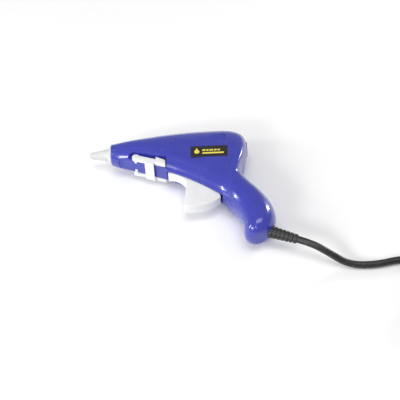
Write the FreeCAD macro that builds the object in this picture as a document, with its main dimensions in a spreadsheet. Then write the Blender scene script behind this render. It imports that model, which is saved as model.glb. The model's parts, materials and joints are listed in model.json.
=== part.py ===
"""Mini hot-melt glue gun, lying on its right side.

Row frame: X runs back along the glue axis, Y runs from the grip up to the top of the
barrel, Z points away from the surface that the gun lies on. The origin is on the flat
of the right side, under the glue axis and in line with the trigger's pivot. Sizes are
in millimetres.
"""
import FreeCAD, Part
import math
import os
import re

from FreeCAD import Placement, Rotation, Vector

Y_AXIS = Vector(0, 1, 0)
Z_AXIS = Vector(0, 0, 1)

SIZES = {
    # housing
    "mid": 14.0, "skin": 2.0, "belly_skin": 4.4, "side_skin": 2.3, "front_face": -60.0,
    "nozzle_hole": 5.3, "flat_side": 14.0,
    "label_x_low": -0.6, "label_x_high": 26.4, "label_y_low": -20.0, "label_y_high": -8.8,
    "rib_thick": 1.5, "rib_radius": 9.0, "keel_half": 1.5, "keel_tip": 6.6,
    "boss_radius": 4.2, "screw_seat": 7.5, "head_radius": 2.6, "head_thick": 1.8,
    "head_hole": 2.9, "shank_radius": 1.3, "shank_length": 12.0, "pilot_gap": 0.06,
    # stand
    "knob_x": -41.2, "knob_y": -11.8, "knob_radius": 2.7, "stand_pin": 1.5, "pin_gap": 0.06,
    "bar_inner": 6.3, "bar_outer": 8.5, "pad_outer": 9.7, "slab_half": 6.0, "step_x": -18.7,
    # trigger
    "pivot_y": -30.0, "rim_radius": 28.4, "trigger_half": 3.7, "slot_gap": 0.5,
    "hub_radius": 4.2, "pivot_pin": 1.5, "pivot_pin_half": 7.4, "arm_inner": 8.5,
    "arm_outer": 10.2, "drive_x": 4.5, "drive_radius": 1.45,
    # glue path
    "chamber_front": -56.0, "chamber_back": -21.0, "chamber_radius": 6.3, "spigot_x": -25.0,
    "spigot_radius": 4.9, "glue_radius": 3.8, "outlet_radius": 0.9, "seat_y": -7.0,
    "heater_front": -36.0, "heater_length": 12.0, "heater_half": 4.0, "tablet_thick": 2.2,
    "contact_thick": 0.4, "film_thick": 0.3, "clip_thick": 0.6, "clip_front": -34.0,
    "clip_length": 8.0, "sleeve_radius": 6.5, "sleeve_back": -16.5,
    "spring_front": -14.9, "spring_back": 0.95, "spring_radius": 5.9, "wire_radius": 0.4,
    "spring_turns": 7.0,
    "feeder_front": 1.0, "feeder_back": 20.0, "feeder_half_y": 7.5, "feeder_half_z": 8.1,
    "feeder_bore": 4.4, "tail_radius": 5.62, "tail_back": 33.0, "tail_gap": 0.08,
    "grip_x": 12.5, "grip_y": -4.6, "grip_thick": 3.0, "grip_half_z": 5.3, "grip_pin": 1.2,
    "guide_front": 33.6, "guide_back": 41.4, "guide_radius": 5.9, "guide_gap": 0.1,
    # cord
    "exit_x": 52.4, "exit_y": -81.8, "exit_angle": -23.6, "cord_radius": 2.5,
    "boot_length": 19.0, "boot_root": 4.4, "boot_tip": 3.3, "lead_radius": 0.7,
    "clamp_back": 11.5, "clamp_across": 4.9, "post_radius": 2.1,
    "coil_x": 180.0, "coil_y": -140.0, "coil_mean": 27.5, "coil_half_width": 8.0,
    "coil_height": 10.4,
    "plug_pin": 2.0, "plug_pin_length": 19.0, "plug_pin_gap": 18.0, "plug_half": 6.5,
}

# Housing sections, from the nozzle round the back of the barrel and down the grip. Each
# gives the point on the outline's outer side, the one on its inner side, half the
# section's thickness, and how full it is (2 is an ellipse).
SECTIONS = [
    ((-60.0, 7.7), (-60.0, -7.9), 7.8, 2.0),
    ((-50.0, 9.4), (-50.0, -11.6), 10.3, 2.0),
    ((-36.5, 11.1), (-36.5, -16.3), 12.6, 2.05),
    ((-19.0, 13.7), (-19.0, -24.2), 14.0, 2.15),
    ((0.0, 15.5), (-6.0, -30.8), 14.3, 2.3),
    ((18.0, 16.1), (5.0, -37.8), 14.3, 2.45),
    ((31.0, 15.2), (12.0, -43.0), 14.3, 2.5),
    ((38.4, 10.8), (16.5, -46.6), 14.3, 2.5),
    ((41.2, 2.5), (19.5, -49.1), 14.3, 2.5),
    ((40.4, -9.0), (21.8, -51.3), 14.3, 2.5),
    ((36.8, -19.5), (23.7, -53.5), 14.2, 2.4),
    ((35.4, -26.8), (25.3, -55.7), 14.1, 2.35),
    ((38.2, -34.6), (26.9, -58.2), 14.0, 2.3),
    ((44.6, -43.2), (28.9, -61.4), 13.8, 2.25),
    ((50.7, -51.9), (31.0, -65.6), 13.6, 2.25),
    ((55.2, -60.8), (32.9, -71.0), 13.4, 2.2),
    ((57.0, -69.5), (34.0, -77.0), 13.0, 2.2),
    ((55.8, -77.6), (34.4, -82.4), 12.2, 2.2),
    ((52.8, -83.0), (36.0, -86.0), 9.8, 2.2),
    ((49.0, -86.6), (39.6, -88.2), 5.2, 2.1),
]
POINTS_PER_EDGE = 12
WIRE_SIDES = 8

# Screw bosses that join the two halves.
BOSSES = [(-12.0, 11.6), (30.0, 10.4), (-14.6, -17.4), (31.0, -21.0), (38.4, -66.0)]

# Routes of the free cord: from the tip of the strain relief to the coil's side, and from the
# coil's top over it to the plug.
CORD_ROUTE = [(69.81, -89.41, 14.0), (79.89, -93.81, 14.0), (90.9, -99.4, 10.0),
              (104.2, -104.2, 2.5), (122.1, -105.4, 2.5), (141.6, -100.8, 2.5),
              (157.5, -104.3, 2.5), (171.0, -106.4, 2.5)]
TAIL_ROUTE = [(212.8, -142.9, 7.2), (211.8, -156.8, 7.9), (204.0, -168.4, 10.4),
              (191.4, -174.6, 13.6), (177.4, -173.6, 16.0), (165.8, -165.8, 17.0),
              (159.7, -153.2, 17.0), (160.6, -139.2, 17.0)]

# Routes of the two leads in the housing, from the cord's end to the heater's contacts.
LEAD_ROUTES = {
    "live_lead": [(38.0, -75.5, 15.3), (38.2, -73.2, 18.4), (41.0, -71.2, 20.6),
                  (45.5, -67.3, 20.9), (45.3, -60.0, 20.4), (40.0, -52.5, 20.2),
                  (32.5, -43.5, 20.2), (25.0, -33.0, 20.4), (15.0, -25.2, 20.2),
                  (3.0, -21.8, 20.0), (-7.2, -20.4, 20.0), (-9.6, -13.8, 20.0),
                  (-14.0, -10.4, 19.2), (-18.0, -7.5, 16.2), (-20.4, -7.5, 16.2)],
    "neutral_lead": [(38.0, -75.5, 12.7), (38.0, -73.0, 9.6), (40.8, -70.9, 7.4),
                     (45.3, -67.1, 7.1), (45.3, -60.0, 7.6), (40.0, -52.5, 7.8),
                     (32.5, -43.5, 7.8), (25.0, -33.0, 7.6), (15.0, -25.2, 7.8),
                     (3.0, -21.8, 8.0), (-7.2, -20.4, 8.0), (-9.6, -14.0, 8.2),
                     (-14.0, -12.2, 9.0), (-18.0, -10.1, 11.8), (-20.4, -10.1, 11.8)],
}

doc = FreeCAD.newDocument("glue_gun")
sheet = doc.addObject("Spreadsheet::Sheet", "Sizes")
for row, (alias, value) in enumerate(SIZES.items(), start=1):
    sheet.set(f"A{row}", alias)
    sheet.set(f"B{row}", str(value))
    sheet.setAlias(f"B{row}", alias)
doc.recompute()
nodes = {}


def size(alias):
    """Value of one cell of the sheet."""
    return float(sheet.get(alias))


def bind(thing, **formulas):
    """Bind properties to formulas written with the sheet's aliases."""
    for name, text in formulas.items():
        linked = re.sub(r"\b[a-z][a-z_]*\b(?!\()", lambda m: "Sizes." + m.group(0), str(text))
        thing.setExpression(name.replace("__", "."), linked)
    return thing


def at(thing, x="0", y="0", z="mid"):
    """Bind the place of a piece."""
    return bind(thing, Placement__Base__x=x, Placement__Base__y=y, Placement__Base__z=z)


def rod_x(radius, start, end, y="0", z="mid"):
    """Cylinder along X."""
    rod = doc.addObject("Part::Cylinder", "RodX")
    rod.Placement = Placement(Vector(0, 0, 0), Rotation(Y_AXIS, 90))
    bind(rod, Radius=radius, Height=f"({end}) - ({start})")
    return at(rod, start, y, z)


def rod_z(radius, x, y, low, high):
    """Cylinder along Z between two distances from the middle plane."""
    rod = doc.addObject("Part::Cylinder", "RodZ")
    bind(rod, Radius=radius, Height=f"({high}) - ({low})")
    return at(rod, x, y, f"mid + ({low})")


def block(x0, x1, y0, y1, z0, z1):
    """Box between bounds; Z is counted from the middle plane."""
    box = doc.addObject("Part::Box", "Block")
    bind(box, Length=f"({x1}) - ({x0})", Width=f"({y1}) - ({y0})", Height=f"({z1}) - ({z0})")
    return at(box, x0, y0, f"mid + ({z0})")


def fuse(*pieces):
    """Union of several pieces."""
    joined = doc.addObject("Part::MultiFuse", "Fuse")
    joined.Shapes = list(pieces)
    joined.Refine = True
    return joined


def cut(base, *tools):
    """Base less the tools, one after another."""
    for tool in tools:
        less = doc.addObject("Part::Cut", "Cut")
        less.Base, less.Tool = base, tool
        base = less
    return base


def common(first, second):
    """What two pieces share."""
    shared = doc.addObject("Part::Common", "Common")
    shared.Base, shared.Tool = first, second
    return shared


def node(label, piece):
    """Name a finished sub-part."""
    piece.Label = label
    nodes[label] = piece
    return piece


def draw(sketch, outline):
    """Draw a closed outline of points, each a corner or an arc's middle ("arc", x, y)."""
    corners = [p for p in outline if p[0] != "arc"]
    start = corners[0]
    last, middle = start, None
    for p in outline[1:] + [start]:
        if p[0] == "arc":
            middle = p[1:]
            continue
        a, b = Vector(*last, 0), Vector(*p, 0)
        if middle:
            sketch.addGeometry(Part.Arc(a, Vector(*middle, 0), b))
        else:
            sketch.addGeometry(Part.LineSegment(a, b))
        last, middle = p, None


def new_sketch(body, name, outline, plane="XY_Plane"):
    """Sketch on one of the body's own planes."""
    sketch = body.newObject("Sketcher::SketchObject", name)
    origin_plane = [f for f in body.Origin.OriginFeatures if f.Role == plane][0]
    sketch.AttachmentSupport = [(origin_plane, "")]
    sketch.MapMode = "FlatFace"
    draw(sketch, outline)
    return sketch


def plate(outline, low, high):
    """Body padded along Z from an outline in X and Y, between two heights from the middle."""
    body = doc.addObject("PartDesign::Body", "Plate")
    sketch = new_sketch(body, "Outline", outline)
    pad = body.newObject("PartDesign::Pad", "Pad")
    pad.Profile = sketch
    bind(pad, Length=f"({high}) - ({low})")
    bind(body, Placement__Base__z=f"mid + ({low})")
    return body


def turned(profile):
    """Body turned about the glue axis from a profile of (x, radius) points."""
    body = doc.addObject("PartDesign::Body", "Turned")
    sketch = new_sketch(body, "Profile", profile)
    turn = body.newObject("PartDesign::Revolution", "Turn")
    turn.Profile = sketch
    turn.ReferenceAxis = (sketch, ["H_Axis"])
    turn.Angle = 360
    bind(body, Placement__Base__z="mid")
    return body


def mirrored_pair(make, low, high):
    """A piece and its mirror image on the other side of the middle plane."""
    return [make(low, high), make(f"0 - ({high})", f"0 - ({low})")]


def unit(a, b):
    """Unit vector in the plane from a to b."""
    length = math.hypot(b[0] - a[0], b[1] - a[1])
    return (b[0] - a[0]) / length, (b[1] - a[1]) / length


def inset(points, index, turn, depth):
    """Point of an outline moved square to it by a depth; turn is the inward side."""
    before = points[max(index - 1, 0)]
    after = points[min(index + 1, len(points) - 1)]
    ux, uy = unit(before, after)
    x, y = points[index]
    return x + turn * uy * depth, y - turn * ux * depth


def section_wire(top, bottom, half, fullness):
    """Closed smooth wire round one section of the housing, in two edges from side to side."""
    centre = Vector((top[0] + bottom[0]) / 2, (top[1] + bottom[1]) / 2, size("mid"))
    reach = Vector(top[0] - bottom[0], top[1] - bottom[1], 0) * 0.5
    edges = []
    for end in (1, -1):
        points = []
        for i in range(POINTS_PER_EDGE + 1):
            angle = math.pi * i / POINTS_PER_EDGE
            c, s = end * math.cos(angle), end * math.sin(angle)
            side = math.copysign(abs(c) ** (2 / fullness), c)
            along = math.copysign(abs(s) ** (2 / fullness), s)
            points.append(centre + reach * along + Z_AXIS * (half * side))
        curve = Part.BSplineCurve()
        curve.interpolate(Points=points, InitialTangent=reach * end, FinalTangent=reach * -end)
        edges.append(curve.toShape())
    return Part.Wire(edges)


def housing_solid(name, top_depth, bottom_depth, side_depth, sections):
    """Solid lofted through the housing's sections, moved in by the given depths."""
    tops = [s[0] for s in SECTIONS]
    bottoms = [s[1] for s in SECTIONS]
    wires = []
    for i in sections:
        belly = bottom_depth if tops[i][0] < 0 and bottoms[i][1] > -32 else top_depth
        top = inset(tops, i, 1, top_depth)
        bottom = inset(bottoms, i, -1, belly)
        wires.append(section_wire(top, bottom, SECTIONS[i][2] - side_depth, SECTIONS[i][3]))
    solid = doc.addObject("Part::Feature", name)
    solid.Shape = Part.makeLoft(wires, True, False)
    return solid


# --- housing ---------------------------------------------------------------------------

def housing_outside():
    """Outer form with its two flat sides, the slab under the barrel and the top notch."""
    form = housing_solid("OuterForm", 0, 0, 0, range(len(SECTIONS)))
    form = common(form, block("-80", "80", "-110", "40", "0 - flat_side", "flat_side"))
    slab_line = [(-54.0, -9.6), (-50.0, -10.3), (-36.3, -14.7), (-18.7, -22.6), (-18.7, -45.0),
                 (-54.0, -45.0)]
    bar_room = [(-48.6, -11.4), (-46.2, -8.9), (-43.6, -7.8), (-40.6, -8.1), (-18.7, -15.2),
                (-18.7, -45.0), (-48.6, -45.0)]
    belly = plate(slab_line, "0 - 20", "20")
    rooms = mirrored_pair(lambda low, high: plate(bar_room, low, high), "slab_half", "20")
    notch_tools = []
    for side in (1, -1):
        wedge = plate([(6.5, -2.0), (25.5, -2.0), (25.5, 4.6), (5.0, 4.6)], "0", "6")
        tilt = Rotation(Y_AXIS, 5.0 * side)
        wedge.Placement = Placement(Vector(0, 0, 0), tilt)
        height = "mid + flat_side + 0.2" if side > 0 else "mid - flat_side - 6.2"
        at(wedge, "0", "0", height)
        notch_tools.append(wedge)
    return form, cut(form, belly, *rooms, *notch_tools)


def housing_inside():
    """Fittings inside the housing: ribs, keel, pivot bosses and screw bosses."""
    ribs = []
    for start in ("0 - 55.2", "0 - 20", "0 - 16.4", "23.5"):
        ribs.append(rod_x("rib_radius", start, f"{start} + rib_thick"))
        if start != "0 - 55.2":
            ribs.append(block(start, f"{start} + rib_thick", "0", "25", "0 - 3", "3"))
    keel = block("0 - 12", "25", "keel_tip", "25", "0 - keel_half", "keel_half")
    pivots = mirrored_pair(lambda low, high: rod_z("3.4", "0", "pivot_y", low, high),
                           "trigger_half + slot_gap + 0.1", "14")
    knob_boss = rod_z("3.0", "knob_x", "knob_y", "0 - slab_half", "slab_half")
    bosses = [rod_z("boss_radius", str(x), str(y), "0 - 14", "14") for x, y in BOSSES]
    posts = [rod_z("post_radius", str(x), str(y), "0 - 14", "0 - 0.05")
             for x, y in clamp_screw_places()]
    return fuse(*ribs, keel, *pivots, knob_boss, *bosses, *posts)


def rest_pad():
    """Small round flat that the gun lies on, set in the right side."""
    return rod_z("5", "0", "0", "0 - 14", "0 - 12.8")


def clamp_screw_places():
    """Places of the two cord clamp screws, either side of the cord."""
    angle = math.radians(size("exit_angle"))
    x = size("exit_x") - size("clamp_back") * math.cos(angle)
    y = size("exit_y") - size("clamp_back") * math.sin(angle)
    across = size("clamp_across")
    return [(round(x - across * math.sin(angle) * side, 3),
             round(y + across * math.cos(angle) * side, 3)) for side in (1, -1)]


def on_exit(label, kind, along, turn=None, **sizes):
    """Primitive placed on the cord's exit line, along mm out from the grip's surface."""
    piece = doc.addObject(kind, label)
    bind(piece, **sizes)
    piece.Placement = exit_placement(along, turn)
    return piece


def exit_rod(label, radius, start, end):
    """Cylinder along the cord's exit line."""
    return on_exit(label, "Part::Cylinder", start, Rotation(Y_AXIS, 90), Radius=radius,
                   Height=f"{end} - ({start})")


def exit_box(label, half_along, half_across, low, high):
    """Box round the cord clamp, between two heights from the middle plane."""
    box = on_exit(label, "Part::Box", 0 - size("clamp_back"), None, Length=f"2 * {half_along}",
                  Width=f"2 * {half_across}", Height=f"{high} - ({low})")
    box.Placement = box.Placement.multiply(
        Placement(Vector(-half_along, -half_across, low), Rotation()))
    return box


def housing_holes():
    """Everything that is cut through the housing and its fittings."""
    holes = [
        rod_x("nozzle_hole", "front_face - 1", "chamber_front + 1"),
        rod_x("chamber_radius + 0.05", "chamber_front - 0.2", "0 - 50"),
        rod_x("sleeve_radius + 0.05", "0 - 22", "sleeve_back + 0.06"),
        rod_x("feeder_bore", "0 - 18", "0 - 10"),
        rod_x("tail_radius + tail_gap", "20", "28"),
        rod_x("guide_radius + guide_gap", "34", "46"),
    ]
    slot = common(rod_z("rim_radius + slot_gap", "0", "pivot_y", "0 - trigger_half - slot_gap",
                        "trigger_half + slot_gap"),
                  block("step_x + 0.4", "40", "0 - 70", "0 - 19.6", "0 - 10", "10"))
    holes.append(slot)
    holes.append(rod_z("pivot_pin + 0.02", "0", "pivot_y", "0 - pivot_pin_half - 0.1",
                       "pivot_pin_half + 0.1"))
    holes += mirrored_pair(lambda low, high: rod_z("stand_pin + pin_gap", "knob_x", "knob_y",
                                                   low, high), "3.0", "7")
    for x, y in BOSSES:
        place = (str(x), str(y))
        holes.append(rod_z("head_hole", *place, "0 - 20", "screw_seat - mid"))
        holes.append(rod_z("shank_radius + pilot_gap", *place, "screw_seat - mid - 1",
                           "screw_seat - mid + shank_length + 0.5"))
    for x, y in clamp_screw_places():
        holes.append(rod_z("1.06", str(x), str(y), "0 - 8", "3"))
    holes.append(exit_box("ClampRoom", 2.4, 7.0, 0.0, 6.2))
    holes.append(exit_rod("ExitHole", "3.5", -9.3, 5))
    holes.append(exit_rod("HeadRoom", "4.4", -9.3, -7.2))
    holes.append(exit_rod("BootSeat", "boot_root + 0.3", -0.6, 8))
    holes.append(block("0 - 21", "0 - 14.5", "0 - 13", "0 - 6.4", "0 - 5", "5"))
    return holes


def exit_placement(along, turn=None):
    """Placement on the cord's exit line, a distance out from the grip's surface."""
    angle = math.radians(size("exit_angle"))
    base = Vector(size("exit_x") + along * math.cos(angle),
                  size("exit_y") + along * math.sin(angle), size("mid"))
    rotation = Rotation(Z_AXIS, size("exit_angle"))
    return Placement(base, rotation.multiply(turn) if turn else rotation)


def build_housing():
    """The two housing halves."""
    form, outside = housing_outside()
    cavity = housing_solid("Cavity", size("skin"), size("belly_skin"), size("side_skin"),
                           range(len(SECTIONS) - 1))
    cavity = common(cavity, block("front_face + 2.6", "80", "0 - 82.6", "40", "0 - 20", "20"))
    nose = rod_x("6.6", "front_face + 2.6", "0 - 48")
    fittings = common(housing_inside(), outside)
    hollow = fuse(cut(outside, cavity, nose), fittings, rest_pad())
    whole = cut(hollow, *housing_holes())
    plate_room = block("label_x_low", "label_x_high", "label_y_low", "label_y_high",
                       "flat_side - 0.5", "20")
    left = common(whole, block("-90", "90", "-120", "60", "0", "20"))
    node("left_shell", cut(left, plate_room))
    node("right_shell", common(whole, block("-90", "90", "-120", "60", "0 - 20", "0")))


def build_label():
    """Name plate in its recess, with a plain raised drop and bars."""
    node("label_plate", block("label_x_low + 0.1", "label_x_high - 0.1", "label_y_low + 0.1",
                              "label_y_high - 0.1", "flat_side - 0.5", "flat_side + 0.15"))


def build_screws():
    """Five pan-head screws whose heads sit in the right half."""
    screws = []
    for x, y in BOSSES:
        place = (str(x), str(y))
        head = rod_z("head_radius", *place, "screw_seat - mid - head_thick", "screw_seat - mid")
        shank = rod_z("shank_radius", *place, "screw_seat - mid - 0.5",
                      "screw_seat - mid + shank_length")
        slots = [block(f"{x} - 1.5", f"{x} + 1.5", f"{y} - 0.3", f"{y} + 0.3",
                       "screw_seat - mid - 3", "screw_seat - mid - 0.9"),
                 block(f"{x} - 0.3", f"{x} + 0.3", f"{y} - 1.5", f"{y} + 1.5",
                       "screw_seat - mid - 3", "screw_seat - mid - 0.9")]
        screws.append(cut(fuse(head, shank), *slots))
    group = doc.addObject("Part::Compound", "Screws")
    group.Links = screws
    node("shell_screws", group)


# --- nozzle and heater -----------------------------------------------------------------

def build_nozzle():
    """Turned nozzle, screwed into the chamber, and the soft cover over it."""
    bore = size("outlet_radius")
    node("nozzle", turned([(-76.0, bore), (-76.0, 1.7), (-75.4, 2.25), (-73.0, 2.3),
                           (-61.0, 4.2), (-59.0, 4.2), (-59.0, 5.0), (-56.1, 5.0),
                           (-56.1, 2.9), (-50.0, 2.9), (-50.0, 2.0), (-52.0, bore)]))
    node("nozzle_cover", turned([(-73.4, 2.45), (-73.4, 3.3), (-72.7, 3.75), (-63.2, 5.5),
                                 (-61.6, 6.1), (-60.9, 7.4), (-60.1, 7.4), (-60.1, 4.35),
                                 (-61.0, 4.35)]))


def build_chamber():
    """Aluminium glue chamber with a seat for the heater and a spigot at its back."""
    outside = fuse(rod_x("chamber_radius", "chamber_front", "spigot_x"),
                   rod_x("spigot_radius", "spigot_x - 1", "chamber_back"),
                   block("heater_front - 1", "spigot_x", "seat_y", "0", "0 - 4.6", "4.6"))
    outlet = rod_x("2.95", "chamber_front - 1", "0 - 49")
    node("melt_chamber", cut(outside, rod_x("glue_radius", "0 - 50", "chamber_back + 1"), outlet))


def build_heater():
    """Heating tablet, its two contacts, the film sleeve and the spring clip."""
    front, back = "heater_front", "heater_front + heater_length"
    film_top = "seat_y - film_thick"
    contact_top = f"{film_top} - contact_thick"
    tablet_low = f"{contact_top} - tablet_thick"
    contact_low = f"{tablet_low} - contact_thick"
    node("ptc_heater", block(front, back, tablet_low, contact_top, "0 - heater_half",
                             "heater_half"))
    contacts = doc.addObject("Part::Compound", "Contacts")
    contacts.Links = [
        fuse(block(front, back, contact_top, film_top, "0 - heater_half", "heater_half"),
             block(f"{back} - 1", f"{back} + 3.5", contact_top, film_top, "1", "3.4")),
        fuse(block(front, back, contact_low, tablet_low, "0 - heater_half", "heater_half"),
             block(f"{back} - 1", f"{back} + 3.5", contact_low, tablet_low, "0 - 3.4", "0 - 1")),
    ]
    node("heater_electrodes", contacts)
    sleeve = cut(block(f"{front} - 0.5", f"{back} + 0.5", f"{contact_low} - film_thick", "seat_y",
                       "0 - heater_half - film_thick", "heater_half + film_thick"),
                 block(f"{front} - 1", f"{back} + 1", contact_low, film_top, "0 - heater_half",
                       "heater_half"))
    node("heater_insulation", sleeve)
    clip_low = f"{contact_low} - film_thick"
    half = "heater_half + film_thick + 0.4"
    span = ("clip_front", "clip_front + clip_length")
    outer = fuse(rod_x("chamber_radius + clip_thick", *span),
                 block(*span, f"{clip_low} - clip_thick", "0", f"0 - ({half}) - clip_thick",
                       f"{half} + clip_thick"))
    inner = fuse(rod_x("chamber_radius", "clip_front - 1", "clip_front + clip_length + 1"),
                 block("clip_front - 1", "clip_front + clip_length + 1", clip_low, "0",
                       f"0 - ({half})", half))
    node("heater_clip", cut(outer, inner))


def build_sleeve():
    """Silicone sleeve between the chamber and the feeder."""
    outside = rod_x("sleeve_radius", "spigot_x + 0.05", "sleeve_back")
    socket = rod_x("spigot_radius", "spigot_x - 1", "chamber_back")
    node("inlet_sleeve", cut(outside, socket, rod_x("glue_radius", "chamber_back - 1", "0")))


def build_guide():
    """Bush that the glue stick goes in by, with a flared mouth."""
    front, back = size("guide_front"), size("guide_back")
    bore, outer = size("glue_radius"), size("guide_radius")
    node("stick_guide", turned([(front, bore), (front, 7.0), (front + 1.6, 7.0),
                                (front + 1.6, outer), (back - 0.4, outer), (back, outer - 0.4),
                                (back, bore + 1.1), (back - 1.1, bore)]))


# --- feed ------------------------------------------------------------------------------

def build_feeder():
    """Carriage that slides along the glue axis with the gripper ring in its window."""
    body = fuse(block("feeder_front", "feeder_back", "0 - feeder_half_y", "feeder_half_y",
                      "0 - feeder_half_z", "feeder_half_z"),
                rod_x("tail_radius", "feeder_back - 1", "tail_back"))
    drive_slots = mirrored_pair(
        lambda low, high: block("drive_x - drive_radius - 0.2", "drive_x + drive_radius + 0.2",
                                "0 - 2.2", "2.2", low, high), "6.3", "feeder_half_z + 1")
    node("feeder_carriage", cut(
        body, rod_x("feeder_bore", "0", "tail_back + 1"),
        block("8.6", "16.4", "0 - 8", "8", "0 - grip_half_z - 0.3", "grip_half_z + 0.3"),
        block("0", "21", "keel_tip - 0.3", "8", "0 - keel_half - 0.25", "keel_half + 0.25"),
        rod_z("grip_pin + 0.06", "grip_x", "grip_y", "0 - 7.3", "7.3"), *drive_slots))


def build_gripper():
    """Ring that tilts and bites the stick, with its two stub pins."""
    ring = block("grip_x - grip_thick / 2", "grip_x + grip_thick / 2", "0 - 6.2", "6.2",
                 "0 - grip_half_z", "grip_half_z")
    pins = rod_z("grip_pin", "grip_x", "grip_y", "0 - 7.1", "7.1")
    node("gripper_ring", cut(fuse(ring, pins), rod_x("3.9", "8", "17")))


def build_spring():
    """Compression spring round the stick, from the rib to the carriage, its wire eight-sided."""
    radius, wire = size("spring_radius"), size("wire_radius")
    start = size("spring_front") + wire
    length = size("spring_back") - wire - start
    helix = Part.makeHelix(length / size("spring_turns"), length, radius)
    steps = [math.tau * i / WIRE_SIDES for i in range(WIRE_SIDES + 1)]
    ring = Part.makePolygon([Vector(radius + wire * math.cos(a), 0, wire * math.sin(a))
                             for a in steps])
    spring = doc.addObject("Part::Feature", "Spring")
    spring.Shape = Part.Wire(helix.Edges).makePipeShell([ring], True, True)
    spring.Placement = Placement(Vector(start, 0, size("mid")), Rotation(Y_AXIS, 90))
    node("return_spring", spring)


def build_trigger():
    """Lever with its finger face, rim, hub and the fork that drives the carriage."""
    pivot_y, rim = size("pivot_y"), size("rim_radius")

    def on_rim(x):
        return x, pivot_y - math.sqrt(rim ** 2 - x ** 2)

    outline = [(-17.6, -26.3), ("arc", -11.0, -27.6), (-6.0, -32.4), ("arc", -4.4, -36.2),
               (-5.2, -40.4), ("arc", -5.6, -49.0), on_rim(-6.8), ("arc", *on_rim(7.0)),
               on_rim(19.6), (18.4, -45.5), (6.0, -30.0), (5.2, -13.0), (-0.6, -13.0),
               (-3.4, -23.6), (-6.0, -24.6), (-17.6, -24.3)]
    lever = plate(outline, "0 - trigger_half", "trigger_half")
    hub = rod_z("hub_radius", "0", "pivot_y", "0 - trigger_half", "trigger_half")
    yoke = block("0", "7.6", "0 - 17", "0 - 12.6", "0 - arm_outer", "arm_outer")
    arms = mirrored_pair(lambda low, high: block("1.6", "7.4", "0 - 14", "2.8", low, high),
                         "arm_inner", "arm_outer")
    drives = mirrored_pair(lambda low, high: rod_z("drive_radius", "drive_x", "0", low, high),
                           "6.5", "arm_outer")
    whole = fuse(lever, hub, yoke, *arms, *drives)
    node("trigger", cut(whole, rod_z("pivot_pin + 0.05", "0", "pivot_y", "0 - 5", "5")))
    node("trigger_pin", rod_z("pivot_pin", "0", "pivot_y", "0 - pivot_pin_half",
                              "pivot_pin_half"))


def build_stand():
    """Folding yoke: two bars with knobs and pads, joined by a band under the barrel."""
    knob = rod_pair("knob_radius", "knob_x", "knob_y", "bar_inner", "bar_outer")
    bar = [(-42.1, -9.3), (-40.5, -9.9), (-19.5, -17.4), (-19.5, -21.2), (-42.5, -14.2)]
    pad = [(-26.4, -13.6), (-19.5, -17.2), (-19.5, -21.6), (-26.4, -19.3)]
    leg = [(-34.6, -13.8), (-28.0, -15.8), (-28.0, -20.7), (-34.6, -18.1)]
    band = [(-34.6, -16.0), (-28.0, -18.9), (-28.0, -20.7), (-34.6, -18.1)]
    parts = list(knob)
    parts += mirrored_pair(lambda low, high: plate(bar, low, high), "bar_inner", "bar_outer")
    parts += mirrored_pair(lambda low, high: plate(pad, low, high), "bar_inner", "pad_outer")
    parts += mirrored_pair(lambda low, high: plate(leg, low, high), "bar_inner", "bar_outer")
    parts.append(plate(band, "0 - bar_outer", "bar_outer"))
    parts += rod_pair("stand_pin", "knob_x", "knob_y", "3.2", "bar_inner + 0.5")
    node("stand", fuse(*parts))


def rod_pair(radius, x, y, low, high):
    """Two rods along Z, one on each side of the middle plane."""
    return mirrored_pair(lambda a, b: rod_z(radius, x, y, a, b), low, high)


# --- cord ------------------------------------------------------------------------------

def rounded_path(route, label):
    """Wire of straight runs joined by tangent arcs, with the arcs' radii printed."""
    points = [Vector(*p) for p in route]
    edges, radii, last = [], [], points[0]
    for before, corner, after in zip(points, points[1:], points[2:]):
        back, ahead = (before - corner), (after - corner)
        turn = math.pi - back.getAngle(ahead)
        shorter = min(back.Length, ahead.Length)
        setback = 0.45 * shorter
        radii.append(setback / math.tan(turn / 2))
        start = corner + back.normalize() * setback
        end = corner + ahead.normalize() * setback
        bisector = (back + ahead).normalize()
        middle = corner + bisector * (radii[-1] / math.cos(turn / 2) - radii[-1])
        edges.append(Part.LineSegment(last, start).toShape())
        edges.append(Part.Arc(start, middle, end).toShape())
        last = end
    edges.append(Part.LineSegment(last, points[-1]).toShape())
    print(label, "bend radii", [round(r, 1) for r in radii])
    return Part.Wire(edges)


def tube(label, route, radius):
    """Round tube along a route, its volume compared with its section times its length."""
    path = rounded_path(route, label)
    first, second = Vector(*route[0]), Vector(*route[1])
    ring = Part.Wire([Part.makeCircle(radius, first, second - first)])
    piece = doc.addObject("Part::Feature", "Tube")
    piece.Shape = path.makePipeShell([ring], True, True)
    wanted = math.pi * radius ** 2 * path.Length
    print(label, "length", round(path.Length, 1), "volume ratio",
          round(piece.Shape.Volume / wanted, 4))
    return node(label, piece)


def build_strain_relief():
    """Tapered segmented boot in the corner of the grip."""
    root, tip, reach = size("boot_root"), size("boot_tip"), size("boot_length")
    profile = [(-9.0, 0), (-9.0, 4.1), (-7.5, 4.1), (-7.5, 3.4), (-0.5, 3.4), (-0.5, root)]
    segments, gap = 6, 0.9
    pitch = (reach - 1.6) / segments
    for i in range(segments):
        start = 1.6 + i * pitch
        r = root + (tip - root) * start / reach
        profile += [(start, r), (start, r - 0.8), (start + gap, r - 0.85),
                    (start + gap, r - 0.1)]
    profile += [(reach, tip), (reach, 0)]
    boot = turned(profile)
    boot.setExpression("Placement.Base.z", None)
    boot.Placement = exit_placement(0)
    node("strain_relief", boot)


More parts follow.
